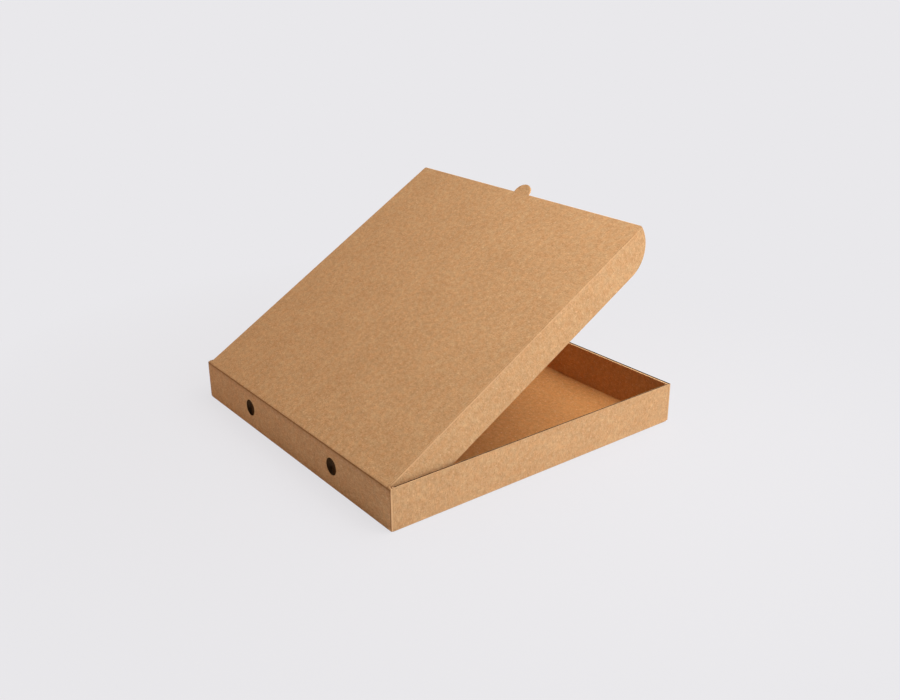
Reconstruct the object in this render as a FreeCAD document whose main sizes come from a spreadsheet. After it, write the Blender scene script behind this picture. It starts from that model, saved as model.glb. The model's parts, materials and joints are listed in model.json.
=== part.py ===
# A plain pizza box folded from one blank of thin fluted kraft board, in millimetres.
# The base tray and the lid are one sheet that turns at a crease along the top of the rear wall.
# They are two solids because the lid swings on that crease, and the lid is drawn as it stands, half open.
# +Z is up, the rear wall is at -Y, the front is at +Y, and the origin is the centre of the underside.
import FreeCAD, Part
import math
import os
import re

import Sketcher

SIZES = [
    ("box_width", 330, "outside of one side wall to the other"),
    ("box_depth", 326, "outside of the rear wall to the front"),
    ("box_height", 40, "underside to the top of the side walls"),
    ("board", 1.8, "thickness of the fluted board"),
    ("fold_outer", 1.5, "outside radius of a fold"),
    ("fold_inner", 0.3, "inside radius of a fold"),
    ("corner_fold", 0.4, "outside radius of the tight folds at the four corners"),
    ("layer_gap", 0.1, "air between a wall and the tab folded behind it"),
    ("tab_lift", 1.0, "air between the floor and the lower edge of a tab"),
    ("tab_round", 8, "radius at the free end of a tab"),
    ("front_tab_length", 150, "corner of the box to the end of a front tab"),
    ("rear_tab_length", 60, "corner of the box to the end of a rear tab"),
    ("rear_tab_drop", 8, "top of the side wall down to the top of a rear tab"),
    ("vent_diameter", 16, "steam vents in the rear wall"),
    ("vent_spacing", 149, "centre of one vent to the other"),
    ("vent_height", 21, "underside to the centre of a vent"),
    ("crease_gap", 0.2, "rear wall to the round of the crease"),
    ("lid_inset", 3.6, "side wall's outside to the lid's, on each side"),
    ("shoulder_gap", 0.5, "lid's end at the crease to the shoulder of the rear wall"),
    ("front_clearance", 0.7, "shut lid's front flap to the tabs behind the front wall"),
    ("flap_rise", 6.5, "underside of the shut box to the lower edge of the lid's flaps"),
    ("side_flap_round", 30, "radius at the front end of a side flap"),
    ("heel_start", 3, "crease to the rear end of a side flap, at its fold"),
    ("heel_end", 8, "crease to the rear end of a side flap, at its lower edge"),
    ("front_flap_lean", 4, "degrees that the front flap leans inwards"),
    ("front_flap_gap", 0.7, "side flap's inside to the end of the front flap"),
    ("front_flap_taper", 13, "how much each end of the front flap draws in at its lower edge"),
    ("front_flap_round", 8, "radius at the lower corners of the front flap"),
    ("thumb_radius", 10, "round thumb tab on the lid's front edge"),
    ("thumb_lift", 10, "degrees that the thumb tab rises from the lid"),
    ("lid_angle", 30.8, "degrees that the lid stands open"),
]

FILLET_SHARE = 0.49  # a fillet takes less than half of an edge, so a straight bit is left

HALF_WIDTH = "box_width / 2"
HALF_DEPTH = "box_depth / 2"
CREASE_HEIGHT = "(box_height - board / 2)"
REAR_WALL_TOP = "(box_height - board - crease_gap)"
TAB_SETBACK = "(board + layer_gap)"
TAB_BOTTOM = "(board + tab_lift)"
TAB_ROUND = f"min(tab_round; {FILLET_SHARE} * (box_height - rear_tab_drop - board - tab_lift))"
FOLD_LEG = "(board + corner_fold + fold_inner)"
LID_HALF_WIDTH = "(box_width / 2 - lid_inset)"
LID_LENGTH = "(box_depth - 2.5 * board - layer_gap - front_clearance)"
PANEL_LENGTH = f"({LID_LENGTH} - fold_outer)"
FLAP_HEIGHT = "(box_height - flap_rise)"
FLAP_BOTTOM = f"(board / 2 - {FLAP_HEIGHT})"
LEAN = "(front_flap_lean * 1 deg)"
LIFT = "(thumb_lift * 1 deg)"
FLAP_DEPTH = f"(3 * board + {FLAP_HEIGHT} * tan({LEAN}))"


def bound(text):
    """The expression with each size's name pointed at its cell of the sheet."""
    names = "|".join(alias for alias, number, meaning in SIZES)
    return re.sub(rf"\b({names})\b", r"Sizes.\1", text)


def make_sheet(doc):
    """Keeps the driving sizes, one to a row, with what each one measures beside it."""
    sheet = doc.addObject("Spreadsheet::Sheet", "Sizes")
    for row, (alias, number, meaning) in enumerate(SIZES, 1):
        sheet.set(f"A{row}", meaning)
        sheet.set(f"B{row}", str(number))
        sheet.setAlias(f"B{row}", alias)
    doc.recompute()
    return sheet


def new_body(doc, label):
    body = doc.addObject("PartDesign::Body", label)
    body.Label = label
    return body


def origin_plane(body, role):
    return next(feature for feature in body.Origin.OriginFeatures if feature.Role == role)


def new_sketch(body, name, plane, offset):
    """A sketch on one of the body's own planes, moved along that plane's normal."""
    sketch = body.newObject("Sketcher::SketchObject", name)
    sketch.AttachmentSupport = (origin_plane(body, plane), [""])
    sketch.MapMode = "FlatFace"
    sketch.setExpression("AttachmentOffset.Base.z", bound(offset))
    return sketch


def pin_point(sketch, index, position, x, y, name):
    """Holds a point at two distances from the sketch's origin, both bound to the sheet."""
    for axis, text in (("X", x), ("Y", y)):
        number = float(sketch.evalExpression(bound(text)))
        row = sketch.addConstraint(Sketcher.Constraint(f"Distance{axis}", -1, 1, index, position, number))
        sketch.renameConstraint(row, f"{name}_{axis}")
        sketch.setExpression(f"Constraints.{name}_{axis}", bound(text))


def corner_arc(before, corner, after, radius):
    """The fillet at a corner: its arc, where it starts and ends, and whether it turns left."""
    back = (before - corner).normalize()
    ahead = (after - corner).normalize()
    half = back.getAngle(ahead) / 2
    start = corner + back * (radius / math.tan(half))
    end = corner + ahead * (radius / math.tan(half))
    centre = corner + (back + ahead).normalize() * (radius / math.sin(half))
    left = back.cross(ahead).z < 0
    first, last = (start, end) if left else (end, start)
    angles = [math.atan2(p.y - centre.y, p.x - centre.x) for p in (first, last)]
    circle = Part.Circle(centre, FreeCAD.Vector(0, 0, 1), radius)
    return Part.ArcOfCircle(circle, *angles), start, end, left


def outline(body, name, plane, corners, offset="0"):
    """A sketch of one closed outline. A corner is a pair of expressions, and a third one rounds it."""
    sketch = new_sketch(body, name, plane, offset)
    places = [
        FreeCAD.Vector(*(float(sketch.evalExpression(bound(text))) for text in corner[:2]), 0)
        for corner in corners
    ]
    count = len(corners)
    starts, ends, arcs = list(places), list(places), {}
    for i, corner in enumerate(corners):
        if len(corner) == 3:
            radius = float(sketch.evalExpression(bound(corner[2])))
            after = places[(i + 1) % count]
            arc, ends[i], starts[i], left = corner_arc(places[i - 1], places[i], after, radius)
            arcs[i] = (arc, radius, left)
    for i in range(count):
        sketch.addGeometry(Part.LineSegment(starts[i], ends[(i + 1) % count]))
    for i, (x, y, *_) in enumerate(corners):
        line_in = (i - 1) % count
        if i not in arcs:
            sketch.addConstraint(Sketcher.Constraint("Coincident", line_in, 2, i, 1))
            pin_point(sketch, i, 1, x, y, f"corner{i}")
            continue
        arc, radius, left = arcs[i]
        point = sketch.addGeometry(Part.Point(places[i]), True)
        pin_point(sketch, point, 1, x, y, f"corner{i}")
        curve = sketch.addGeometry(arc)
        near, far = (1, 2) if left else (2, 1)
        sketch.addConstraint(Sketcher.Constraint("Tangent", line_in, 2, curve, near))
        sketch.addConstraint(Sketcher.Constraint("Tangent", curve, far, i, 1))
        sketch.addConstraint(Sketcher.Constraint("PointOnObject", point, 1, line_in))
        sketch.addConstraint(Sketcher.Constraint("PointOnObject", point, 1, i))
        row = sketch.addConstraint(Sketcher.Constraint("Radius", curve, radius))
        sketch.renameConstraint(row, f"round{i}")
        sketch.setExpression(f"Constraints.round{i}", bound(corners[i][2]))
    return sketch


def circles(body, name, plane, centres, diameter, offset="0"):
    """A sketch of equal circles at pairs of expressions."""
    sketch = new_sketch(body, name, plane, offset)
    number = float(sketch.evalExpression(bound(diameter)))
    for i, (x, y) in enumerate(centres):
        place = FreeCAD.Vector(*(float(sketch.evalExpression(bound(text))) for text in (x, y)), 0)
        circle = sketch.addGeometry(Part.Circle(place, FreeCAD.Vector(0, 0, 1), number / 2))
        pin_point(sketch, circle, 3, x, y, f"centre{i}")
        row = sketch.addConstraint(Sketcher.Constraint("Diameter", circle, number))
        sketch.renameConstraint(row, f"across{i}")
        sketch.setExpression(f"Constraints.across{i}", bound(diameter))
    return sketch


def extrude(body, kind, name, sketch, length, side="One side", reverse=False):
    """Pads or pockets a sketch and stops if the body's volume didn't change the right way."""
    before = body.Shape.Volume if body.Tip and not body.Shape.isNull() else 0
    feature = body.newObject(f"PartDesign::{kind}", name)
    feature.Profile = sketch
    feature.SideType = side
    feature.Reversed = reverse
    feature.setExpression("Length", bound(length))
    body.Document.recompute()
    gained = body.Shape.Volume - before
    if (gained > 0) != (kind == "Pad"):
        raise RuntimeError(f"{name} changed the volume of {body.Label} by {gained:.3f}")
    return feature


def round_edges(body, name, radius, direction, wanted):
    """Fillets the straight edges that run along a direction and whose middle passes the test."""
    base = body.Tip
    names = [
        f"Edge{number}"
        for number, edge in enumerate(base.Shape.Edges, 1)
        if edge.Curve.TypeId == "Part::GeomLine"
        and abs(edge.tangentAt(edge.FirstParameter).dot(direction)) > 0.9
        and wanted(edge.CenterOfMass)
    ]
    if not names:
        raise RuntimeError(f"{name} found no edge")
    fillet = body.newObject("PartDesign::Fillet", name)
    fillet.Base = (base, names)
    fillet.setExpression("Radius", bound(radius))
    body.Document.recompute()
    return fillet


def mirror_sides(body, name, features):
    """Repeats features of the right-hand side on the left."""
    mirrored = body.newObject("PartDesign::Mirrored", name)
    mirrored.Originals = features
    mirrored.MirrorPlane = (origin_plane(body, "YZ_Plane"), [""])
    body.Tip = mirrored
    body.Document.recompute()
    return mirrored


def corner_tab(body, end, toward_rear, length, top):
    """The fold at one end of the right side wall, and the tab that it carries behind the end wall."""
    sign = "-1" if toward_rear else "1"
    face = f"{sign} * (box_depth / 2 - {TAB_SETBACK})"
    back = f"{sign} * (box_depth / 2 - {TAB_SETBACK} - board)"
    leg = f"{sign} * (box_depth / 2 - {TAB_SETBACK} - 2 * board)"
    plan = [
        (f"{HALF_WIDTH} - {FOLD_LEG}", face),
        (HALF_WIDTH, face, "corner_fold"),
        (HALF_WIDTH, leg),
        (f"{HALF_WIDTH} - board", leg),
        (f"{HALF_WIDTH} - board", back, "fold_inner"),
        (f"{HALF_WIDTH} - {FOLD_LEG}", back),
    ]
    fold_plan = outline(body, f"{end}_corner_plan", "XY_Plane", plan, TAB_BOTTOM)
    fold = extrude(body, "Pad", f"{end}_corner_fold", fold_plan, f"box_height - {TAB_BOTTOM}")
    free_end = f"{HALF_WIDTH} - {length}"
    shape = [
        (free_end, TAB_BOTTOM, TAB_ROUND),
        (f"{HALF_WIDTH} - board", TAB_BOTTOM),
        (f"{HALF_WIDTH} - board", top),
        (free_end, top, TAB_ROUND),
    ]
    tab_shape = outline(body, f"{end}_tab_shape", "XZ_Plane", shape, f"-1 * ({face})")
    tab = extrude(body, "Pad", f"{end}_tab", tab_shape, "board", reverse=toward_rear)
    return [fold, tab]


def make_base_tray(doc):
    """Floor, four walls folded up from it, and the side walls' tabs folded behind front and rear."""
    body = new_body(doc, "base_tray")
    inside = f"({HALF_WIDTH} - board)"
    across = [
        (f"-{HALF_WIDTH}", "box_height"),
        (f"-{HALF_WIDTH}", "0", "fold_outer"),
        (HALF_WIDTH, "0", "fold_outer"),
        (HALF_WIDTH, "box_height"),
        (inside, "box_height"),
        (inside, "board", "fold_inner"),
        (f"-{inside}", "board", "fold_inner"),
        (f"-{inside}", "box_height"),
    ]
    sides = outline(body, "side_to_side", "XZ_Plane", across)
    side_length = f"box_depth - 2 * ({TAB_SETBACK} + corner_fold)"
    extrude(body, "Pad", "floor_and_side_walls", sides, side_length, side="Symmetric")

    rear_inside = f"-({HALF_DEPTH} - board)"
    front_inside = f"({HALF_DEPTH} - board)"
    along = [
        (f"-{HALF_DEPTH}", REAR_WALL_TOP),
        (f"-{HALF_DEPTH}", "0", "fold_outer"),
        (HALF_DEPTH, "0", "fold_outer"),
        (HALF_DEPTH, "box_height"),
        (front_inside, "box_height"),
        (front_inside, "board", "fold_inner"),
        (rear_inside, "board", "fold_inner"),
        (rear_inside, REAR_WALL_TOP),
    ]
    ends = outline(body, "front_to_back", "YZ_Plane", along)
    extrude(body, "Pad", "front_and_rear_folds", ends, "box_width - 2 * fold_outer", side="Symmetric")

    shoulder = f"({LID_HALF_WIDTH} + shoulder_gap)"
    rear = [
        (f"-{HALF_WIDTH}", "fold_outer"),
        (HALF_WIDTH, "fold_outer"),
        (HALF_WIDTH, CREASE_HEIGHT),
        (shoulder, CREASE_HEIGHT),
        (shoulder, REAR_WALL_TOP),
        (f"-{shoulder}", REAR_WALL_TOP),
        (f"-{shoulder}", CREASE_HEIGHT),
        (f"-{HALF_WIDTH}", CREASE_HEIGHT),
    ]
    rear_shape = outline(body, "rear_wall_shape", "XZ_Plane", rear, HALF_DEPTH)
    extrude(body, "Pad", "rear_wall", rear_shape, "board", reverse=True)

    front = [
        (f"-{HALF_WIDTH}", "fold_outer"),
        (HALF_WIDTH, "fold_outer"),
        (HALF_WIDTH, "box_height"),
        (f"-{HALF_WIDTH}", "box_height"),
    ]
    front_shape = outline(body, "front_wall_shape", "XZ_Plane", front, f"-{HALF_DEPTH}")
    extrude(body, "Pad", "front_wall", front_shape, "board")

    rear_pair = corner_tab(body, "rear", True, "rear_tab_length", "box_height - rear_tab_drop")
    front_pair = corner_tab(body, "front", False, "front_tab_length", "box_height")
    mirror_sides(body, "left_hand_tabs", rear_pair + front_pair)

    centres = [("-vent_spacing / 2", "vent_height"), ("vent_spacing / 2", "vent_height")]
    holes = circles(body, "vent_shape", "XZ_Plane", centres, "vent_diameter", HALF_DEPTH)
    extrude(body, "Pocket", "vents", holes, "board + layer_gap / 2")
    return body


def make_lid(doc):
    """Top panel, side flaps, front flap and thumb tab, drawn flat about the crease and then swung open."""
    body = new_body(doc, "lid")
    flap_inside = f"({LID_HALF_WIDTH} - board)"
    across = [
        (f"-{LID_HALF_WIDTH}", FLAP_BOTTOM),
        (f"-{flap_inside}", FLAP_BOTTOM),
        (f"-{flap_inside}", "-board / 2", "fold_inner"),
        (flap_inside, "-board / 2", "fold_inner"),
        (flap_inside, FLAP_BOTTOM),
        (LID_HALF_WIDTH, FLAP_BOTTOM),
        (LID_HALF_WIDTH, "board / 2", "fold_outer"),
        (f"-{LID_HALF_WIDTH}", "board / 2", "fold_outer"),
    ]
    sides = outline(body, "lid_side_to_side", "XZ_Plane", across)
    extrude(body, "Pad", "panel_and_side_flaps", sides, PANEL_LENGTH, reverse=True)

    heel = [
        ("0", "-board / 2"),
        ("0", f"{FLAP_BOTTOM} - board"),
        ("heel_end", f"{FLAP_BOTTOM} - board"),
        ("heel_start", "-board / 2"),
    ]
    heel_shape = outline(body, "flap_heel_shape", "YZ_Plane", heel)
    extrude(body, "Pocket", "flap_heels", heel_shape, "box_width", side="Symmetric")

    board = float(body.evalExpression(bound("board")))
    panel_end = float(body.evalExpression(bound(PANEL_LENGTH)))
    flap_bottom = float(body.evalExpression(bound(FLAP_BOTTOM)))
    flap_depth = float(body.evalExpression(bound(FLAP_DEPTH)))
    round_edges(
        body,
        "flap_fronts",
        f"min(side_flap_round; 2 * {FILLET_SHARE} * ({FLAP_HEIGHT} - board))",
        FreeCAD.Vector(1, 0, 0),
        lambda middle: middle.y > panel_end - board and middle.z < flap_bottom + board,
    )

    crease = circles(body, "crease_shape", "YZ_Plane", [("0", "0")], "board")
    extrude(body, "Pad", "crease", crease, f"2 * {LID_HALF_WIDTH} - 2 * fold_outer", side="Symmetric")

    lower_y = f"{LID_LENGTH} - {FLAP_HEIGHT} * tan({LEAN})"
    front = [
        (f"{PANEL_LENGTH} - board", "board / 2"),
        (f"{PANEL_LENGTH} - board", "-board / 2"),
        (f"{LID_LENGTH} - board * (1 / cos({LEAN}) + tan({LEAN}))", "-board / 2", "fold_inner"),
        (f"{lower_y} - board * cos({LEAN})", f"{FLAP_BOTTOM} + board * sin({LEAN})"),
        (lower_y, FLAP_BOTTOM),
        (LID_LENGTH, "board / 2", "fold_outer"),
    ]
    front_section = outline(body, "front_flap_section", "YZ_Plane", front)
    flap_half = f"({LID_HALF_WIDTH} - board - front_flap_gap)"
    extrude(body, "Pad", "front_flap", front_section, f"2 * {flap_half}", side="Symmetric")

    taper = [
        (flap_half, "-board / 2"),
        (f"{flap_half} - front_flap_taper", FLAP_BOTTOM),
        (f"{flap_half} - front_flap_taper", f"{FLAP_BOTTOM} - board"),
        (flap_half, f"{FLAP_BOTTOM} - board"),
    ]
    taper_shape = outline(body, "front_flap_taper_shape", "XZ_Plane", taper, f"-1 * ({LID_LENGTH} + board)")
    end = extrude(body, "Pocket", "front_flap_right_end", taper_shape, FLAP_DEPTH, reverse=True)
    mirror_sides(body, "front_flap_left_end", [end])
    round_edges(
        body,
        "front_flap_corners",
        "front_flap_round",
        FreeCAD.Vector(0, 1, 0),
        lambda middle: middle.y > panel_end - flap_depth and middle.z < flap_bottom + board,
    )
    make_thumb_tab(body)
    body.Placement = FreeCAD.Placement(FreeCAD.Vector(), FreeCAD.Rotation(FreeCAD.Vector(1, 0, 0), 1))
    body.setExpression("Placement.Rotation.Angle", bound("lid_angle"))
    body.setExpression("Placement.Base.y", bound("board / 2 - box_depth / 2"))
    body.setExpression("Placement.Base.z", bound(CREASE_HEIGHT))
    return body


def make_thumb_tab(body):
    """A round tab cut out of the front flap, which stays with the top panel and rises a little."""
    behind_flap = f"-1 * ({PANEL_LENGTH} - board)"
    centre = [("0", "board / 2")]
    opening = circles(body, "thumb_notch_shape", "XZ_Plane", centre, "2 * thumb_radius", behind_flap)
    extrude(body, "Pocket", "thumb_notch", opening, FLAP_DEPTH)
    reach = "(thumb_radius + fold_outer)"
    section = [
        (f"{PANEL_LENGTH} - board", "board / 2"),
        (f"{PANEL_LENGTH} - board", "-board / 2"),
        (f"{PANEL_LENGTH} + board * tan({LIFT} / 2)", "-board / 2"),
        (
            f"{PANEL_LENGTH} + {reach} * cos({LIFT}) + board * sin({LIFT})",
            f"board / 2 + {reach} * sin({LIFT}) - board * cos({LIFT})",
        ),
        (f"{PANEL_LENGTH} + {reach} * cos({LIFT})", f"board / 2 + {reach} * sin({LIFT})"),
        (PANEL_LENGTH, "board / 2"),
    ]
    side = outline(body, "thumb_tab_section", "YZ_Plane", section)
    extrude(body, "Pad", "thumb_tab", side, "2 * thumb_radius", side="Symmetric")
    tip = max(vertex.Y for vertex in body.Shape.Vertexes)
    round_edges(
        body,
        "thumb_tab_round",
        f"2 * {FILLET_SHARE} * thumb_radius",
        FreeCAD.Vector(0, 0, 1),
        lambda middle: middle.y > tip - float(body.evalExpression(bound("board"))),
    )


def main():
    os.makedirs("parts", exist_ok=True)
    doc = FreeCAD.newDocument("pizza_box")
    make_sheet(doc)
    pieces = [make_base_tray(doc), make_lid(doc)]
    doc.recompute()
    failed = [thing.Label for thing in doc.Objects if {"Invalid", "Error"} & set(thing.State)]
    failed += [piece.Label for piece in pieces if piece.Shape.isNull() or not piece.Shape.isValid()]
    if failed:
        raise RuntimeError(f"these did not build: {failed}")
    for piece in pieces:
        box = piece.Shape.BoundBox
        print(f"{piece.Label}: {box.XLength:.2f} x {box.YLength:.2f} x {box.ZLength:.2f} mm, "
              f"{len(piece.Shape.Solids)} solid, {piece.Shape.Volume / 1000:.1f} cubic cm")
        piece.Shape.exportStep(f"parts/{piece.Label}.step")


main()
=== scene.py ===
# A plain pizza box of thin fluted kraft board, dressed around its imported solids, in metres.
# The tray and the lid keep their solids' form. Their cut edges are opened between the two liners,
# with the fluting laid into them, and a soft band of board crosses the crease.
import json
import math

import bmesh
import bpy
from mathutils import Matrix, Vector, noise
from mathutils.bvhtree import BVHTree


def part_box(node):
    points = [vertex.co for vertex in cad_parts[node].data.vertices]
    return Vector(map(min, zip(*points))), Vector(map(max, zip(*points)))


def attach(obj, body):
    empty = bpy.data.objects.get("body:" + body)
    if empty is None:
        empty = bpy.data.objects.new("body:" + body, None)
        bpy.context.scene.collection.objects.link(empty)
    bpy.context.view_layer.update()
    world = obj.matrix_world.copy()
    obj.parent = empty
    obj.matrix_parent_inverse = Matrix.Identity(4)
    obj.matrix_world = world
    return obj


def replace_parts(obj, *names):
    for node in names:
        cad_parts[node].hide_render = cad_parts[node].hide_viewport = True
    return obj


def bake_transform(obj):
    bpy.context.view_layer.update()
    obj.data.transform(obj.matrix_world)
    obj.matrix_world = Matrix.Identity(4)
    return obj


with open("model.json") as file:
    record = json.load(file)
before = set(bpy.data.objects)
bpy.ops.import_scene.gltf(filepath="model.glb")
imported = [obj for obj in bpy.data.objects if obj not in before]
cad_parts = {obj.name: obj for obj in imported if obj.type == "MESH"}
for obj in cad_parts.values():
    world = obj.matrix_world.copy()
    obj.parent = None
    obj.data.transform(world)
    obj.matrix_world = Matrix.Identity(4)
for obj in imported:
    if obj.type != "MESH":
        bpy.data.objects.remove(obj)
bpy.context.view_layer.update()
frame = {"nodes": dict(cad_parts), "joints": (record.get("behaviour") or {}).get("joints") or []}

MM = 0.001

# the board: two liners with the fluting between them
BOARD = 1.8 * MM
LINER = 0.17 * MM
CORE = BOARD - 2 * LINER
FLUTE_PITCH = 3.6 * MM
FLUTING_PAPER = 0.18 * MM
FLUTE_POINTS = 12
LAYER_GAP = 0.1 * MM
FOLD_OUTER = 1.5 * MM

# its cut edges, opened between the liners; along the front wall half of each liner goes too
MOUTH_DEPTH = 6 * MM
SHALLOW_MOUTH = 0.6 * MOUTH_DEPTH
WIDE_CORE = BOARD - LINER
GROOVE_WIDTH = 1.15 * MM
GROOVE_DEPTH = 3 * MM
RIM_MARGIN = 1 * MM
ARC_STEP = 0.6 * MM
SAME_POINT = 0.001 * MM
LINER_REACH = 1.35 * BOARD
SHARP_ANGLE = math.radians(35)

# the tray and the lid, from their solids
tray_low, tray_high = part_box("base_tray")
lid_low, lid_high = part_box("lid")
HALF_WIDTH = tray_high.x
HALF_DEPTH = tray_high.y
TRAY_HEIGHT = tray_high.z
LID_HALF_WIDTH = lid_high.x
HINGE = Vector(frame["joints"][0]["pos_m"])
LID_ANGLE = math.radians(30.8)
LID_LENGTH = 320.7 * MM
PANEL_LENGTH = LID_LENGTH - FOLD_OUTER
LID_FLAP_HEIGHT = 33.5 * MM
FLAP_BOTTOM = BOARD / 2 - LID_FLAP_HEIGHT
SIDE_FLAP_ROUND = 30 * MM
HEEL_START = 3 * MM
HEEL_END = 8 * MM
HEEL_ROOT = 3.2 * MM
FRONT_FLAP_LEAN = math.radians(4)
FRONT_FLAP_HALF = LID_HALF_WIDTH - BOARD - 0.7 * MM
FRONT_FLAP_TAPER = 13 * MM
FRONT_FLAP_ROUND = 8 * MM
CLOSED_BELOW_FOLD = 3 * MM
THUMB_RADIUS = 10 * MM
SIDE_FLAP_OPEN = (99, 160)
NOTCH_OPEN = (160, 20)
TAB_BOTTOM = BOARD + 1 * MM
TAB_ROUND = 8 * MM
FRONT_TAB_LENGTH = 150 * MM
REAR_TAB_LENGTH = 60 * MM
REAR_TAB_TOP = TRAY_HEIGHT - 8 * MM
VENT_RADIUS = 8 * MM
VENT_X = 74.5 * MM
VENT_HEIGHT = 21 * MM

# the crease
CREASE_DROP = 5 * MM
CREASE_REACH = 2.6 * MM
CREASE_PRESS = 0.22 * MM
CREASE_COLUMN = 1.4 * MM
CREASE_UNEVEN = 0.06 * MM
UNEVEN_ROWS = range(3, 15)
# down the rear wall: millimetres below the hinge, and how much of the press is there
WALL_ROWS = ((5.0, 0), (3.6, 0.11), (2.4, 0.36), (1.7, 0.73), (1.25, 1.0), (0.92, 0.85))
# up the lid: millimetres from the hinge, and the share of the way to the lid's width
LID_ROWS = ((0.3, 0.15), (0.6, 0.5), (1.0, 0.9), (1.6, 1), (CREASE_REACH / MM, 1))
# the roll between them, in degrees about the hinge, and its inner side
ROLL_STEPS = 8
ROLL_START = 205
ROLL_TURN = 80
ROLL_ROUND = 0.4
INNER_TURN = 12
INNER_SWELL = 1.1
INNER_BELOW = 1.3
INNER_BEYOND = 1.5

# the paper
KRAFT_DARK = (0.420, 0.233, 0.105)
KRAFT_LIGHT = (0.626, 0.389, 0.201)
SPECK_COLOUR = (0.17, 0.085, 0.04, 1)
FLECK_COLOUR = (0.86, 0.62, 0.40, 1)
WARMER = (1.02, 0.972, 0.93, 1)
COOLER = (0.98, 1.028, 1.07, 1)
# painted shade: the dark colour laid along the folds for the shadow in the creases and at the walls' foot
PAINTED_FOLD_SHADE_COLOUR = (0.15, 0.046, 0.009, 1)

# the light and the camera
BACKGROUND = (0.815, 0.807, 0.831)
SEEN_FLOOR_LEVEL = 0.84
FLOOR_SHADOW = 0.15
CAMERA_PLACE = Vector((0.7370, -0.5398, 0.4343))
CAMERA_AZIMUTH = math.radians(52.669)
CAMERA_ELEVATION = math.radians(22.100)
CAMERA_ROLL = math.radians(-0.386)
FOCAL_LENGTH = 40.09
SENSOR_WIDTH = 36
FLOOR_REACH = 60
SHADOW_NEAR, SHADOW_FAR = 0.20, 0.55
LAMP_TARGET = Vector((0, 0.02, 0.08))
# each lamp's name, place, width, power in watts and colour
LAMPS = (
    ("right", (0.84, 0.26, 0.52), 0.8, 4.35, (1, 1, 1)),
    ("over_front", (0.2, 0.7, 1.0), 1.4, 10.1, (1, 1, 1)),
    ("over_lid", (0.45, 0.05, 0.95), 0.7, 5.9, (1, 0.96, 0.91)),
    ("right_rear", (1.1, -0.6, 0.6), 0.9, 0.4, (1, 1, 1)),
    ("left_rear", (-1.15, -0.85, 0.33), 0.9, 7.0, (1, 0.62, 0.39)),
    ("left_front", (-0.7, 0.5, 1.0), 1.0, 0.3, (1, 0.9, 0.8)),
)

OUTER_SIDE, CUT_EDGE, INNER_SIDE = 0, 1, 2


class Graph:
    """Lays out shader nodes and joins them in one line each."""

    def __init__(self, tree):
        self.tree = tree

    def add(self, kind, values=None, **settings):
        """A node with its settings made and each input given a number or another node's output."""
        node = self.tree.nodes.new(kind)
        for name, value in settings.items():
            setattr(node, name, value)
        for name, value in (values or {}).items():
            if isinstance(value, bpy.types.NodeSocket):
                self.tree.links.new(value, node.inputs[name])
            else:
                node.inputs[name].default_value = value
        return node

    def math(self, operation, *terms):
        node = self.add("ShaderNodeMath", operation=operation)
        for slot, term in zip(node.inputs, terms):
            if isinstance(term, bpy.types.NodeSocket):
                self.tree.links.new(term, slot)
            else:
                slot.default_value = term
        return node.outputs[0]

    def ramp(self, value, low, high):
        """How far a value has come from low to high, held between 0 and 1."""
        node = self.add("ShaderNodeMapRange", {"Value": value, "From Min": low, "From Max": high})
        return node.outputs["Result"]

    def total(self, start, *layers):
        """A start value and several others on top, each times its weight."""
        total = start
        for value, weight in layers:
            total = self.math("MULTIPLY_ADD", value, weight, total)
        return total

    def mix(self, share, first, second, blend_type="MIX"):
        """The colour that has come from the first to the second by the share."""
        values = {"Factor": share, "A": first, "B": second}
        node = self.add("ShaderNodeMix", values, data_type="RGBA", blend_type=blend_type)
        return node.outputs["Result"]


def new_material(name):
    material = bpy.data.materials.new(name)
    material.use_nodes = True
    material.node_tree.nodes.clear()
    return material, Graph(material.node_tree)


def finish_material(graph, colour, height, roughness, bump_distance, gloss):
    """The shader that every paper surface ends in."""
    bump = graph.add("ShaderNodeBump", {"Height": height, "Distance": bump_distance, "Strength": 1.0})
    shader = graph.add(
        "ShaderNodeBsdfPrincipled",
        {
            "Base Color": colour,
            "Roughness": roughness,
            "Normal": bump.outputs[0],
            "Specular IOR Level": gloss,
        },
    )
    graph.add("ShaderNodeOutputMaterial", {"Surface": shader.outputs[0]})


def painted_fold_shade(graph, across, along, folds):
    """How much painted shade the paper gets along its folds, laid in for the shadow in the creases and at
    the walls' foot. Each fold says which way it is measured, its place, how far it reaches, its strength,
    and the rows that it lies in."""
    kept = 1
    for direction, place, reach, strength, rows_below in folds:
        value = across if direction == "across" else along
        away = graph.math("ABSOLUTE", graph.math("SUBTRACT", value, place))
        near = graph.math("SUBTRACT", 1, graph.ramp(away, 0, reach))
        there = graph.math("LESS_THAN", along, rows_below)
        share = graph.math("MULTIPLY", graph.math("MULTIPLY", near, strength), there)
        kept = graph.math("MULTIPLY", kept, graph.math("SUBTRACT", 1, share))
    return graph.math("SUBTRACT", 1, kept)


def tinted(colour, tint):
    return (*(value * share for value, share in zip(colour, tint)), 1)


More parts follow.
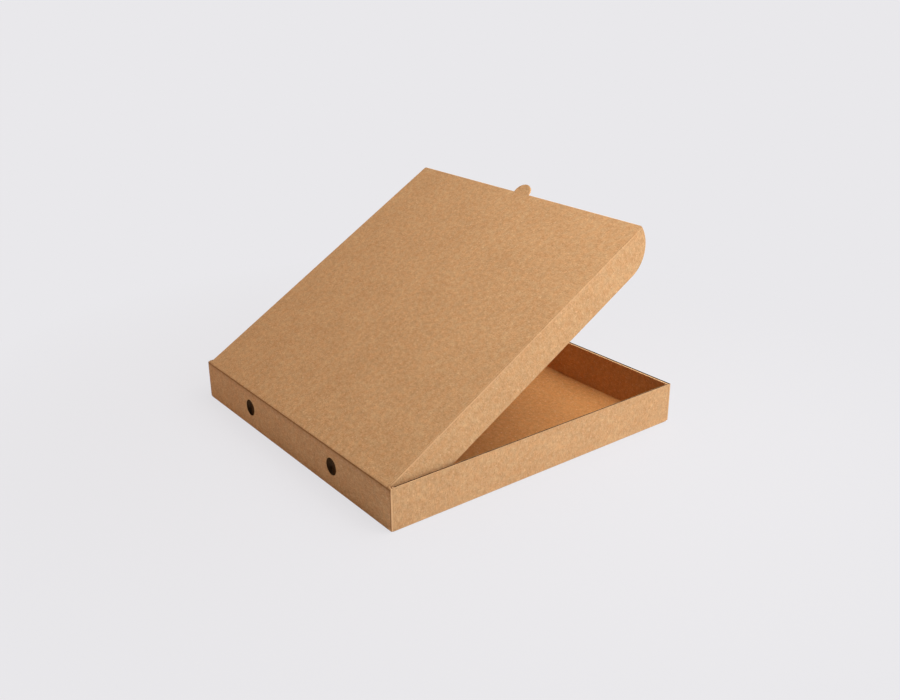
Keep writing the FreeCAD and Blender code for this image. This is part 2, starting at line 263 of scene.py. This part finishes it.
def kraft_liner(name, tint, folds):
    """Unbleached liner paper: clouded, with short fibres across the flutes, a few dark specks and
    light flecks, and a hue that wanders a little. Along its folds it gets painted shade and less gloss."""
    material, graph = new_material(name)
    sheet = graph.add("ShaderNodeUVMap", uv_map="sheet").outputs["UV"]
    spots = graph.add("ShaderNodeSeparateXYZ", {"Vector": sheet}).outputs

    def paper_noise(scale, detail, stretch=(1, 1, 1)):
        place = graph.add("ShaderNodeMapping", {"Vector": sheet, "Scale": stretch}).outputs[0]
        texture = graph.add(
            "ShaderNodeTexNoise",
            {"Vector": place, "Scale": scale, "Detail": detail, "Roughness": 0.6},
            noise_dimensions="2D",
        )
        return texture.outputs["Fac"]

    clouds = paper_noise(28, 3)
    blotches = paper_noise(260, 3, (0.7, 1, 1))
    fibres = paper_noise(900, 2, (0.4, 1, 1))
    grain = paper_noise(2600, 1)
    layers = ((clouds, 0.42), (blotches, 1.05), (fibres, 1.15), (grain, 0.35))
    level = 0.5 - sum(weight for _, weight in layers) / 2
    shade = graph.total(level, *layers)
    colour = graph.mix(shade, tinted(KRAFT_DARK, tint), tinted(KRAFT_LIGHT, tint))
    specks = graph.ramp(paper_noise(1500, 0, (0.5, 1, 1)), 0.73, 0.80)
    colour = graph.mix(graph.math("MULTIPLY", specks, 0.45), colour, SPECK_COLOUR)
    flecks = graph.ramp(paper_noise(620, 0, (1, 0.6, 1)), 0.77, 0.83)
    colour = graph.mix(graph.math("MULTIPLY", flecks, 0.25), colour, FLECK_COLOUR)
    hue = graph.mix(graph.ramp(paper_noise(150, 2), 0.3, 0.7), WARMER, COOLER)
    colour = graph.mix(1, colour, hue, blend_type="MULTIPLY")

    # painted shade along the folds, standing in for their shadow
    painted_shade_at_folds = painted_fold_shade(graph, graph.math("ABSOLUTE", spots["X"]), spots["Y"], folds)
    colour = graph.mix(painted_shade_at_folds, colour, PAINTED_FOLD_SHADE_COLOUR)

    flutes = graph.math("SINE", graph.math("MULTIPLY", spots["X"], 2 * math.pi / FLUTE_PITCH))
    height = graph.total(0, (fibres, 0.5), (flutes, 0.06), (blotches, 0.6))
    gloss = graph.math("MULTIPLY_ADD", painted_shade_at_folds, -0.28, 0.3)
    finish_material(graph, colour, height, roughness=0.86, bump_distance=0.06 * MM, gloss=gloss)
    return material


def plain_paper(name, dark, light, scale):
    """Rough paper without a printed side: the cut ends of the board, the fluting in it, and the nearly
    black painted shade between its liners.
    """
    material, graph = new_material(name)
    place = graph.add("ShaderNodeTexCoord").outputs["Object"]
    texture = graph.add("ShaderNodeTexNoise", {"Vector": place, "Scale": scale, "Detail": 3})
    grain = texture.outputs["Fac"]
    colour = graph.mix(grain, (*dark, 1), (*light, 1))
    finish_material(graph, colour, grain, roughness=0.92, bump_distance=0.1 * MM, gloss=0.05)
    return material


def linked(name, data):
    thing = bpy.data.objects.new(name, data)
    bpy.context.scene.collection.objects.link(thing)
    return thing


def mesh_from(work, name, materials=()):
    """What was built in a bmesh, as a mesh with its materials."""
    mesh = bpy.data.meshes.new(name)
    work.to_mesh(mesh)
    work.free()
    for material in materials:
        mesh.materials.append(material)
    return mesh


def plain_mesh(thing):
    """What an object and its modifiers come to, as a mesh of its own."""
    graph = bpy.context.evaluated_depsgraph_get()
    return bpy.data.meshes.new_from_object(thing.evaluated_get(graph))


def cut(mesh, tool, operation):
    """The difference or the intersection of two closed meshes."""
    first, second = linked("first", mesh), linked("second", tool)
    modifier = first.modifiers.new("cut", "BOOLEAN")
    modifier.object = second
    modifier.operation = operation
    modifier.solver = "EXACT"
    modifier.material_mode = "TRANSFER"
    made = plain_mesh(first)
    bpy.data.objects.remove(first)
    bpy.data.objects.remove(second)
    return made


def turned_in(place, point, normal, panel_side):
    """Whether a face is on the side of the sheet that the folding turns to the inside of the box."""
    point, normal = place @ point, place.to_3x3() @ normal
    main = max(range(3), key=lambda axis: abs(normal[axis]))
    if main == 2:
        return normal.z * panel_side < 0
    return normal[main] * point[main] < 0


def solid_copy(node, place, panel_side, materials):
    """A closed copy of a solid, whose faces know which side of the board or which cut edge they are."""
    back = place.inverted()
    work = bmesh.new()
    work.from_mesh(frame["nodes"][node].data)
    bmesh.ops.remove_doubles(work, verts=work.verts, dist=SAME_POINT)
    tree = BVHTree.FromBMesh(work)
    for face in work.faces:
        inward = -face.normal
        middle = face.calc_center_median()
        across = tree.ray_cast(middle + inward * SAME_POINT, inward)[3]
        if not across or across > LINER_REACH:
            face.material_index = CUT_EDGE
        elif turned_in(back, middle, face.normal, panel_side):
            face.material_index = INNER_SIDE
        else:
            face.material_index = OUTER_SIDE
    return mesh_from(work, node + "_copy", materials)


def sheet_plane(origin, across, along):
    """A plane in the middle of the board: its X runs across the flutes and its Y along them."""
    across, along = Vector(across).normalized(), Vector(along).normalized()
    turned = Matrix((across, along, across.cross(along))).transposed().to_4x4()
    return Matrix.Translation(origin) @ turned


def line(start, end):
    """A straight rim with the board on its left, as points with the way into the board."""
    start, end = Vector(start), Vector(end)
    ahead = (end - start).normalized()
    inward = Vector((-ahead.y, ahead.x))
    return [(start, inward), (end, inward)]


def arc(centre, radius, first, last, hole=False):
    """A round rim from one angle to another, with the board inside it, or round it if it is a hole."""
    count = max(3, math.ceil(abs(math.radians(last - first)) * radius / ARC_STEP))
    rim = []
    for i in range(count + 1):
        angle = math.radians(first + (last - first) * i / count)
        out = Vector((math.cos(angle), math.sin(angle)))
        rim.append((Vector(centre) + out * radius, out if hole else -out))
    return rim


def mouth_cutter(plane, rim, depth, width, material):
    """The solid that opens the board along a rim, between its two liners."""
    work = bmesh.new()
    rows = []
    for point, inward in rim:
        ends = (point - inward * RIM_MARGIN, point + inward * depth)
        corners = [(end, side * width / 2) for side in (-1, 1) for end in ends]
        rows.append([work.verts.new(plane @ Vector((end.x, end.y, z))) for end, z in corners])
    closed = (rim[0][0] - rim[-1][0]).length < SAME_POINT
    if closed:
        for vertex in rows.pop():
            work.verts.remove(vertex)
        rows.append(rows[0])
    for before, after in zip(rows, rows[1:]):
        for i, j in ((0, 1), (1, 3), (3, 2), (2, 0)):
            work.faces.new((before[i], before[j], after[j], after[i]))
    if not closed:
        for row in (rows[0], rows[-1]):
            work.faces.new((row[0], row[1], row[3], row[2]))
    bmesh.ops.recalc_face_normals(work, faces=work.faces)
    return mesh_from(work, "mouth", (material,))


def fluting_tree():
    """Nodes for one plate of fluting: a wave from one place to another, as deep as it is asked for."""
    tree = bpy.data.node_groups.new("fluting", "GeometryNodeTree")
    tree.interface.new_socket("Geometry", in_out="OUTPUT", socket_type="NodeSocketGeometry")
    for name in ("From", "To", "Pitch", "Wave Height", "Depth", "Paper"):
        tree.interface.new_socket(name, in_out="INPUT", socket_type="NodeSocketFloat")
    tree.interface.new_socket("Material", in_out="INPUT", socket_type="NodeSocketMaterial")
    graph = Graph(tree)
    given = graph.add("NodeGroupInput").outputs
    start = graph.add("ShaderNodeCombineXYZ", {"X": given["From"]}).outputs[0]
    end = graph.add("ShaderNodeCombineXYZ", {"X": given["To"]}).outputs[0]
    straight = graph.add("GeometryNodeCurvePrimitiveLine", {"Start": start, "End": end}).outputs[0]
    waves = graph.math("DIVIDE", graph.math("SUBTRACT", given["To"], given["From"]), given["Pitch"])
    count = graph.math("CEIL", graph.math("MULTIPLY", waves, FLUTE_POINTS))
    points = graph.add("GeometryNodeResampleCurve", {"Curve": straight, "Count": count}).outputs[0]
    place = graph.add("GeometryNodeInputPosition").outputs[0]
    along = graph.add("ShaderNodeSeparateXYZ", {"Vector": place}).outputs["X"]
    turn = graph.math("MULTIPLY", graph.math("DIVIDE", along, given["Pitch"]), 2 * math.pi)
    swing = graph.math("MULTIPLY", given["Wave Height"], 0.5)
    rise = graph.math("MULTIPLY", graph.math("SINE", turn), swing)
    lift = graph.add("ShaderNodeCombineXYZ", {"Z": rise}).outputs[0]
    wave = graph.add("GeometryNodeSetPosition", {"Geometry": points, "Offset": lift}).outputs[0]
    profile = graph.add(
        "GeometryNodeCurvePrimitiveQuadrilateral", {"Width": given["Depth"], "Height": given["Paper"]}
    ).outputs[0]
    plate = graph.add(
        "GeometryNodeCurveToMesh", {"Curve": wave, "Profile Curve": profile, "Fill Caps": True}
    ).outputs[0]
    real = graph.add("GeometryNodeRealizeInstances", {"Geometry": plate}).outputs[0]
    painted = graph.add("GeometryNodeSetMaterial", {"Geometry": real, "Material": given["Material"]})
    graph.add("NodeGroupOutput", {"Geometry": painted.outputs[0]})
    return tree


def fluting_plate(tree, material, plane, rim, depth):
    """The wavy plate that covers a rim, in the middle of the board."""
    reach = [point + inward * depth for point, inward in rim] + [point for point, _ in rim]
    low = Vector((min(p.x for p in reach), min(p.y for p in reach)))
    high = Vector((max(p.x for p in reach), max(p.y for p in reach)))
    sizes = {
        "From": low.x - RIM_MARGIN,
        "To": high.x + RIM_MARGIN,
        "Pitch": FLUTE_PITCH,
        "Wave Height": CORE - FLUTING_PAPER,
        "Depth": high.y - low.y + 2 * RIM_MARGIN,
        "Paper": FLUTING_PAPER,
        "Material": material,
    }
    thing = linked("plate", bpy.data.meshes.new("plate"))
    modifier = thing.modifiers.new("fluting", "NODES")
    modifier.node_group = tree
    for item in tree.interface.items_tree:
        if item.in_out == "INPUT":
            modifier[item.identifier] = sizes[item.name]
    mesh = plain_mesh(thing)
    bpy.data.objects.remove(thing)
    middle = Matrix.Translation((0, (low.y + high.y) / 2, 0))
    mesh.transform(plane @ middle)
    return mesh


def joined(meshes):
    """Several meshes as one, with the first one's materials."""
    work = bmesh.new()
    for mesh in meshes:
        work.from_mesh(mesh)
    return mesh_from(work, "joined", meshes[0].materials)


def open_rims(mesh, rims, grooves, tree, painted_shade_hollow, fluting):
    """Opens the board along its rims and returns it with the fluting that shows in them."""
    # the walls that these cutters leave inside the board take a nearly black painted shade, for the shadow
    # between the liners
    for plane, rim in grooves:
        groove = mouth_cutter(plane, rim, GROOVE_DEPTH, GROOVE_WIDTH, painted_shade_hollow)
        mesh = cut(mesh, groove, "DIFFERENCE")
    cutters, plates = [], []
    for plane, rim, depth, width in rims:
        cutters.append(mouth_cutter(plane, rim, depth, width, painted_shade_hollow))
        plates.append(fluting_plate(tree, fluting, plane, rim, depth))
    cutter, plate = joined(cutters), joined(plates)
    opened = cut(mesh, cutter, "DIFFERENCE")
    removed = cut(mesh, cutter, "INTERSECT")
    waves = cut(plate, removed, "INTERSECT")
    waves.materials.clear()
    waves.materials.append(fluting)
    waves.polygons.foreach_set("material_index", [0] * len(waves.polygons))
    return opened, waves


def tray_rims():
    """Where the tray's board is cut across its flutes: front wall's top, tabs' ends and vents."""
    front_wall = sheet_plane((0, HALF_DEPTH - BOARD / 2, 0), (1, 0, 0), (0, 0, 1))
    half = HALF_WIDTH - LINER
    rims = [(front_wall, line((half, TRAY_HEIGHT), (-half, TRAY_HEIGHT)), MOUTH_DEPTH, WIDE_CORE)]
    rear_wall = sheet_plane((0, -HALF_DEPTH + BOARD / 2, 0), (1, 0, 0), (0, 0, 1))
    for side in (-1, 1):
        vent = arc((side * VENT_X, VENT_HEIGHT), VENT_RADIUS, 360, 0, hole=True)
        rims.append((rear_wall, vent, MOUTH_DEPTH, CORE))
    tabs = (
        (HALF_DEPTH, 1, FRONT_TAB_LENGTH, TRAY_HEIGHT),
        (-HALF_DEPTH, -1, REAR_TAB_LENGTH, REAR_TAB_TOP),
    )
    for wall, way, length, top in tabs:
        middle = wall - way * (1.5 * BOARD + LAYER_GAP)
        for side in (-1, 1):
            plane = sheet_plane((side * (HALF_WIDTH - length), middle, 0), (0, 0, 1), (side, 0, 0))
            rim = (
                arc((top - TAB_ROUND, TAB_ROUND), TAB_ROUND, 0, -90)
                + arc((TAB_BOTTOM + TAB_ROUND, TAB_ROUND), TAB_ROUND, -90, -180)
            )
            rims.append((plane, rim, SHALLOW_MOUTH, CORE))
    return rims


def wall_grooves():
    """The side walls' tops, which are cut along a flute and show it as a narrow groove."""
    grooves = []
    for side in (-1, 1):
        inner_half = side * (HALF_WIDTH - BOARD + LINER + GROOVE_WIDTH / 2)
        wall = sheet_plane((inner_half, 0, 0), (0, 0, 1), (0, 1, 0))
        reach = HALF_DEPTH - 2 * BOARD
        grooves.append((wall, line((TRAY_HEIGHT, -reach), (TRAY_HEIGHT, reach))))
    return grooves


def side_flap_plane(lid_place, side):
    middle = side * (LID_HALF_WIDTH - BOARD / 2)
    return lid_place @ sheet_plane((middle, 0, 0), (0, 0, 1), (0, 1, 0))


def flap_grooves(lid_place):
    """The lower edges of the lid's side flaps, which are cut along a flute too."""
    ends = ((FLAP_BOTTOM, PANEL_LENGTH - SIDE_FLAP_ROUND), (FLAP_BOTTOM, HEEL_END + MOUTH_DEPTH))
    return [(side_flap_plane(lid_place, side), line(*ends)) for side in (-1, 1)]


def lid_rims(lid_place):
    """Where the lid's board is cut across its flutes and open: its flaps' free ends and the notch."""
    rims = []
    for side in (-1, 1):
        flap = side_flap_plane(lid_place, side)
        centre = (FLAP_BOTTOM + SIDE_FLAP_ROUND, PANEL_LENGTH - SIDE_FLAP_ROUND)
        rims.append((flap, arc(centre, SIDE_FLAP_ROUND, *SIDE_FLAP_OPEN), MOUTH_DEPTH, CORE))
        heel = line((FLAP_BOTTOM + LINER, HEEL_END), (-BOARD / 2 - 2 * LINER, HEEL_START))
        rims.append((flap, heel, SHALLOW_MOUTH, CORE))

    down = Vector((0, -math.sin(FRONT_FLAP_LEAN), -math.cos(FRONT_FLAP_LEAN)))
    back = Vector((0, -math.cos(FRONT_FLAP_LEAN), math.sin(FRONT_FLAP_LEAN)))
    origin = Vector((0, LID_LENGTH, BOARD / 2)) + back * BOARD / 2
    front_flap = lid_place @ sheet_plane(origin, (1, 0, 0), down)
    bottom = LID_FLAP_HEIGHT / math.cos(FRONT_FLAP_LEAN)
    low_half = FRONT_FLAP_HALF - FRONT_FLAP_TAPER
    slope = math.atan2(FRONT_FLAP_TAPER, bottom - BOARD)
    turn = math.degrees(slope)
    top = BOARD + CLOSED_BELOW_FOLD
    top_half = FRONT_FLAP_HALF - CLOSED_BELOW_FOLD * math.tan(slope)
    run = FRONT_FLAP_ROUND * math.tan((math.pi / 2 - slope) / 2)
    centre_x, centre_y = low_half - run, bottom - FRONT_FLAP_ROUND
    rim = (
        line((top_half, top), (low_half, bottom))[:1]
        + arc((centre_x, centre_y), FRONT_FLAP_ROUND, turn, 90)
        + arc((-centre_x, centre_y), FRONT_FLAP_ROUND, 90, 180 - turn)
        + line((-low_half, bottom), (-top_half, top))[1:]
    )
    rims.append((front_flap, rim, MOUTH_DEPTH, CORE))
    notch = arc((0, 0), THUMB_RADIUS, *NOTCH_OPEN, hole=True)
    rims.append((front_flap, notch, SHALLOW_MOUTH, CORE))
    return rims


def box_tool(place, low, high, materials=()):
    """A closed box between two corners of a placed frame."""
    work = bmesh.new()
    bmesh.ops.create_cube(work, size=1)
    low, high = Vector(low), Vector(high)
    for vertex in work.verts:
        shares = vertex.co + Vector((0.5, 0.5, 0.5))
        vertex.co = place @ (low + Vector(a * b for a, b in zip(shares, high - low)))
    mesh = mesh_from(work, "box", materials)
    if high.x < low.x:
        mesh.flip_normals()
    return mesh


def lay_sheet_map(mesh, place, fold_half_width, fold_half_depth):
    """Gives each face its place on the flat sheet, in metres: U across the flutes and V along them."""
    back = place.inverted()
    layer = mesh.uv_layers.new(name="sheet")
    for face in mesh.polygons:
        normal = back.to_3x3() @ face.normal
        size = [abs(value) for value in normal]
        for loop in face.loop_indices:
            point = back @ mesh.vertices[mesh.loops[loop].vertex_index].co
            if size[0] == max(size):
                spot = (math.copysign(fold_half_width + abs(point.z), point.x), point.y)
            elif size[1] == max(size):
                spot = (point.x, math.copysign(fold_half_depth + abs(point.z), point.y))
            else:
                spot = (point.x, point.y)
            layer.data[loop].uv = spot


def shade(mesh):
    """Smooth folds beside flat faces, with the cut edges kept sharp."""
    mesh.shade_smooth()
    mesh.set_sharp_from_angle(angle=SHARP_ANGLE)
    thing = linked("shaded", mesh)
    modifier = thing.modifiers.new("flat_faces_stay_flat", "WEIGHTED_NORMAL")
    modifier.keep_sharp = True
    made = plain_mesh(thing)
    bpy.data.objects.remove(thing)
    return made


def crease_section():
    """The board across the crease about the hinge: pairs of an outer and an inner point, from the rear
    wall to the lid, with the share of the way that each has come."""
    half = BOARD / 2
    lid_turn = Matrix.Rotation(LID_ANGLE, 2)
    section = []
    for drop, press in WALL_ROWS:
        outer = Vector((press * CREASE_PRESS - half, -drop * MM))
        section.append((outer, Vector((half, -max(drop, INNER_BELOW) * MM)), 0))
    inner_start = (math.degrees(LID_ANGLE) - 90) / 2 - INNER_TURN / 2
    for step in range(ROLL_STEPS + 1):
        outer_angle = math.radians(ROLL_START - ROLL_TURN * step / ROLL_STEPS)
        inner_angle = math.radians(inner_start + INNER_TURN * step / ROLL_STEPS)
        outer = Vector((math.cos(outer_angle), math.sin(outer_angle))) * half
        inner = Vector((math.cos(inner_angle), math.sin(inner_angle))) * INNER_SWELL * half
        section.append((outer, inner, 0))
    for reach, share in LID_ROWS:
        outer = Vector((reach * MM, half))
        inner = Vector((max(reach, INNER_BEYOND) * MM, -half))
        section.append((lid_turn @ outer, lid_turn @ inner, share))
    return section


def crease_columns():
    """Where the band has a column, as distances from its middle, closer together at its ends."""
    ends = [HALF_WIDTH - away * MM for away in (1.5, 1.0, 0.6, 0.3, 0.1, 0)]
    even_half = HALF_WIDTH - 2 * MM
    count = math.ceil(2 * even_half / CREASE_COLUMN)
    middle = [even_half * (2 * i / count - 1) for i in range(count + 1)]
    return [-place for place in reversed(ends)] + middle + ends


def crease_band(materials):
    """The strip of board that bends at the crease. It is a little uneven, as wide as the rear wall at
    its foot and as the lid at its head, and rounded there like the lid's side folds."""
    tray_paper, lid_paper, inside, cut_edge = range(4)
    section = crease_section()
    wall_points = sum(1 for outer, _, _ in section if outer.y < 0) - 1
    lengths = [0]
    for (before, _, _), (after, _, _) in zip(section, section[1:]):
        lengths.append(lengths[-1] + (after - before).length)
    work = bmesh.new()
    sheet = work.loops.layers.uv.new("sheet")
    rows = []
    for place in crease_columns():
        row = []
        for i, (outer, inner, share) in enumerate(section):
            x = place * (1 - share * (HALF_WIDTH - LID_HALF_WIDTH) / HALF_WIDTH)
            over = FOLD_OUTER - (HALF_WIDTH - abs(place))
            drop = FOLD_OUTER - math.sqrt(FOLD_OUTER ** 2 - over ** 2) if over > 0 else 0
            wander = 0
            if i in UNEVEN_ROWS:
                wander = abs(noise.noise(Vector((x * 130, i * 0.35, 0)))) * CREASE_UNEVEN
            round_off = drop * max(share, ROLL_ROUND) if i >= wall_points else 0
            moved = outer + (inner - outer).normalized() * (round_off + wander)
            for spot in (moved, inner):
                row.append(work.verts.new((x, HINGE.y + spot.x, HINGE.z + spot.y)))
        rows.append(row)
    last = len(section) - 1
    for before, after in zip(rows, rows[1:]):
        for i in range(last):
            a, b = 2 * i, 2 * i + 2
            outer_face = work.faces.new((before[a], after[a], after[b], before[b]))
            outer_face.material_index = tray_paper if i < wall_points else lid_paper
            for loop in outer_face.loops:
                step = i if loop.vert in (before[a], after[a]) else i + 1
                along = lengths[step] - lengths[-1] + CREASE_REACH
                if i < wall_points:
                    along = -(HALF_DEPTH + loop.vert.co.z)
                loop[sheet].uv = (loop.vert.co.x, along)
            inner_face = work.faces.new((before[a + 1], before[b + 1], after[b + 1], after[a + 1]))
            inner_face.material_index = inside
            for loop in inner_face.loops:
                loop[sheet].uv = (loop.vert.co.x, loop.vert.co.z)
        for i in (0, 2 * last):
            work.faces.new((before[i], before[i + 1], after[i + 1], after[i])).material_index = cut_edge
    for row in (rows[0], rows[-1]):
        for i in range(0, 2 * last, 2):
            work.faces.new((row[i], row[i + 2], row[i + 3], row[i + 1])).material_index = cut_edge
    bmesh.ops.recalc_face_normals(work, faces=work.faces)
    return mesh_from(work, "crease", materials)


def tab_foot(side, paper):
    """The lower edge of a front tab, which stands on the floor of the tray."""
    near_wall = HALF_DEPTH - BOARD
    low = (side * (HALF_WIDTH - FRONT_TAB_LENGTH + TAB_ROUND), near_wall - BOARD, BOARD - LINER)
    high = (side * (HALF_WIDTH - 1.5 * BOARD), near_wall - LAYER_GAP / 2, TAB_BOTTOM + LINER)
    return box_tool(Matrix.Identity(4), low, high, (paper,))


def flap_root(lid_place, side, paper):
    """The rear end of a side flap, which reaches under the panel almost to the crease."""
    low = (side * (LID_HALF_WIDTH - BOARD), BOARD / 2 + 0.05 * MM, -HEEL_ROOT)
    high = (side * (LID_HALF_WIDTH - SAME_POINT), HEEL_START + 0.6 * MM, -BOARD / 2 + 0.2 * MM)
    return box_tool(lid_place, low, high, (paper,))


def build_box():
    """All pieces of the box: the tray's and the lid's each on its body, and the crease band on none."""
    crease_along = -(HALF_DEPTH + HINGE.z)
    everywhere = 1  # metres along the sheet, which is past all its rows
    # painted shade: a dark line under the crease fading down the rear wall, shade along the rear wall's
    # foot, and shade at its ends by the corners
    tray_painted_fold_shade = [
        ("along", crease_along, 2.3 * MM, 0.9, everywhere),
        ("along", crease_along, 5.5 * MM, 0.3, everywhere),
        ("along", -HALF_DEPTH, 2.0 * MM, 0.6, everywhere),
        ("across", HALF_WIDTH, 2.0 * MM, 0.65, -HALF_DEPTH),
    ]
    # painted shade along the lid's folds, strongest along its side folds, where it also dulls their
    # highlight
    lid_painted_fold_shade = [
        ("along", 0, 1.2 * MM, 0.08, everywhere),
        ("along", LID_LENGTH - FOLD_OUTER, 1.2 * MM, 0.06, everywhere),
        ("across", LID_HALF_WIDTH - FOLD_OUTER / 2, 1.5 * MM, 0.36, everywhere),
    ]
    tray_paper = kraft_liner("kraft_outside_tray", (1, 0.985, 0.955), tray_painted_fold_shade)
    lid_paper = kraft_liner("kraft_outside_lid", (0.99, 0.97, 0.93), lid_painted_fold_shade)
    # painted shade: the inside liner is tinted redder and darker than the outside one, for the warm dim
    # light bounced about inside the box
    inside = kraft_liner("kraft_inside_painted_shade", (1.03, 0.78, 0.48), [])
    cut_edge = plain_paper("cut_edge", (0.47, 0.275, 0.132), (0.69, 0.435, 0.24), 1400)
    # painted shade: nearly black paper on the walls cut inside the board, standing in for the shadow
    # between the liners
    painted_shade_hollow = plain_paper("between_liners_painted_shade", (0.035, 0.016, 0.007), (0.065, 0.032, 0.015), 900)
    # fluting paper darker than it really is: its own darker grey-brown with painted shade for the shadow
    # inside the flutes
    fluting = plain_paper("fluting_paper_with_painted_shade", (0.08, 0.044, 0.021), (0.15, 0.086, 0.045), 900)
    tree = fluting_tree()
    lid_place = Matrix.Translation(HINGE) @ Matrix.Rotation(LID_ANGLE, 4, "X")
    upright = Matrix.Translation(HINGE)
    past_end = HALF_WIDTH + BOARD

    behind_wall = BOARD / 2 + LAYER_GAP / 2
    wall_trim = box_tool(upright, (-past_end, -2 * BOARD, -CREASE_DROP), (past_end, behind_wall, BOARD))
    tray = solid_copy("base_tray", Matrix.Identity(4), -1, (tray_paper, cut_edge, inside))
    tray = cut(tray, wall_trim, "DIFFERENCE")
    for side in (-1, 1):
        tray = cut(tray, tab_foot(side, inside), "UNION")
    tray, tray_waves = open_rims(tray, tray_rims(), wall_grooves(), tree, painted_shade_hollow, fluting)
    lay_sheet_map(tray, Matrix.Identity(4), HALF_WIDTH, HALF_DEPTH)

    lid_trim = box_tool(lid_place, (-past_end, -BOARD, -BOARD), (past_end, CREASE_REACH, BOARD))
    lid = cut(solid_copy("lid", lid_place, 1, (lid_paper, cut_edge, inside)), lid_trim, "DIFFERENCE")
    for side in (-1, 1):
        lid = cut(lid, flap_root(lid_place, side, lid_paper), "UNION")
    lid, lid_waves = open_rims(lid, lid_rims(lid_place), flap_grooves(lid_place), tree, painted_shade_hollow, fluting)
    lay_sheet_map(lid, lid_place, LID_HALF_WIDTH, LID_LENGTH)

    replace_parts(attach(linked("tray_board", shade(tray)), "tray"), "base_tray")
    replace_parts(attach(linked("lid_board", shade(lid)), "cover"), "lid")
    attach(linked("tray_fluting", shade(tray_waves)), "tray")
    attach(linked("lid_fluting", shade(lid_waves)), "cover")
    band = linked("crease_band", shade(crease_band((tray_paper, lid_paper, inside, cut_edge))))
    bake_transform(band)


def make_floor():
    """A pale floor that keeps a faint shadow round the box and shows the background's colour elsewhere."""
    mesh = bpy.data.meshes.new("floor")
    signs = ((-1, -1), (1, -1), (1, 1), (-1, 1))
    corners = [(x * FLOOR_REACH, y * FLOOR_REACH, 0) for x, y in signs]
    mesh.from_pydata(corners, [], [(0, 1, 2, 3)])
    material, graph = new_material("pale_floor")
    path = graph.add("ShaderNodeLightPath").outputs
    seen = graph.math("MAXIMUM", path["Is Camera Ray"], path["Is Glossy Ray"])
    level = graph.math("SUBTRACT", 1, graph.math("MULTIPLY", seen, 1 - SEEN_FLOOR_LEVEL))
    lit = graph.add("ShaderNodeVectorMath", {0: BACKGROUND, "Scale": level}, operation="SCALE").outputs[0]
    pale = graph.add("ShaderNodeBsdfDiffuse", {"Color": lit}).outputs[0]
    flat = graph.add("ShaderNodeEmission", {"Color": (*BACKGROUND, 1), "Strength": 1.0}).outputs[0]
    place = graph.add("ShaderNodeTexCoord").outputs["Object"]
    away = graph.add("ShaderNodeVectorMath", {0: place}, operation="LENGTH").outputs["Value"]
    near = graph.math("SUBTRACT", 1, graph.ramp(away, SHADOW_NEAR, SHADOW_FAR))
    keep = graph.math("SUBTRACT", 1, graph.math("MULTIPLY", near, FLOOR_SHADOW))
    share = graph.math("MULTIPLY", seen, keep)
    mixed = graph.add("ShaderNodeMixShader", {0: share, 1: pale, 2: flat}).outputs[0]
    graph.add("ShaderNodeOutputMaterial", {"Surface": mixed})
    mesh.materials.append(material)
    floor = linked("floor", mesh)


def make_world():
    world = bpy.data.worlds.new("studio")
    world.use_nodes = True
    world.node_tree.nodes.clear()
    graph = Graph(world.node_tree)
    seen = graph.add("ShaderNodeLightPath").outputs["Is Camera Ray"]
    around = graph.add("ShaderNodeBackground", {"Color": (1.0, 0.85, 0.70, 1), "Strength": 0.10})
    backdrop = graph.add("ShaderNodeBackground", {"Color": (*BACKGROUND, 1), "Strength": 1.0})
    mixed = graph.add("ShaderNodeMixShader", {0: seen, 1: around.outputs[0], 2: backdrop.outputs[0]})
    graph.add("ShaderNodeOutputWorld", {"Surface": mixed.outputs[0]})
    bpy.context.scene.world = world


def make_lights():
    """Soft lamps: a low one at the right, broad ones over the front and the lid, and fills."""
    for name, place, size, power, colour in LAMPS:
        lamp = bpy.data.lights.new(name, "AREA")
        lamp.shape = "DISK"
        lamp.size = size
        lamp.energy = power
        lamp.color = colour
        thing = linked(name, lamp)
        thing.location = place
        thing.rotation_euler = (LAMP_TARGET - Vector(place)).to_track_quat("-Z", "Y").to_euler()


def make_camera():
    camera = bpy.data.cameras.new("camera")
    camera.lens = FOCAL_LENGTH
    camera.sensor_width = SENSOR_WIDTH
    camera.clip_start = 0.01
    camera.clip_end = 200
    thing = linked("camera", camera)
    turn = (
        Matrix.Rotation(CAMERA_AZIMUTH, 4, "Z")
        @ Matrix.Rotation(math.pi / 2 - CAMERA_ELEVATION, 4, "X")
        @ Matrix.Rotation(CAMERA_ROLL, 4, "Z")
    )
    thing.matrix_world = Matrix.Translation(CAMERA_PLACE) @ turn
    bpy.context.scene.camera = thing


build_box()
make_floor()
make_world()
make_lights()
make_camera()
bpy.context.scene.view_settings.view_transform = "Standard"
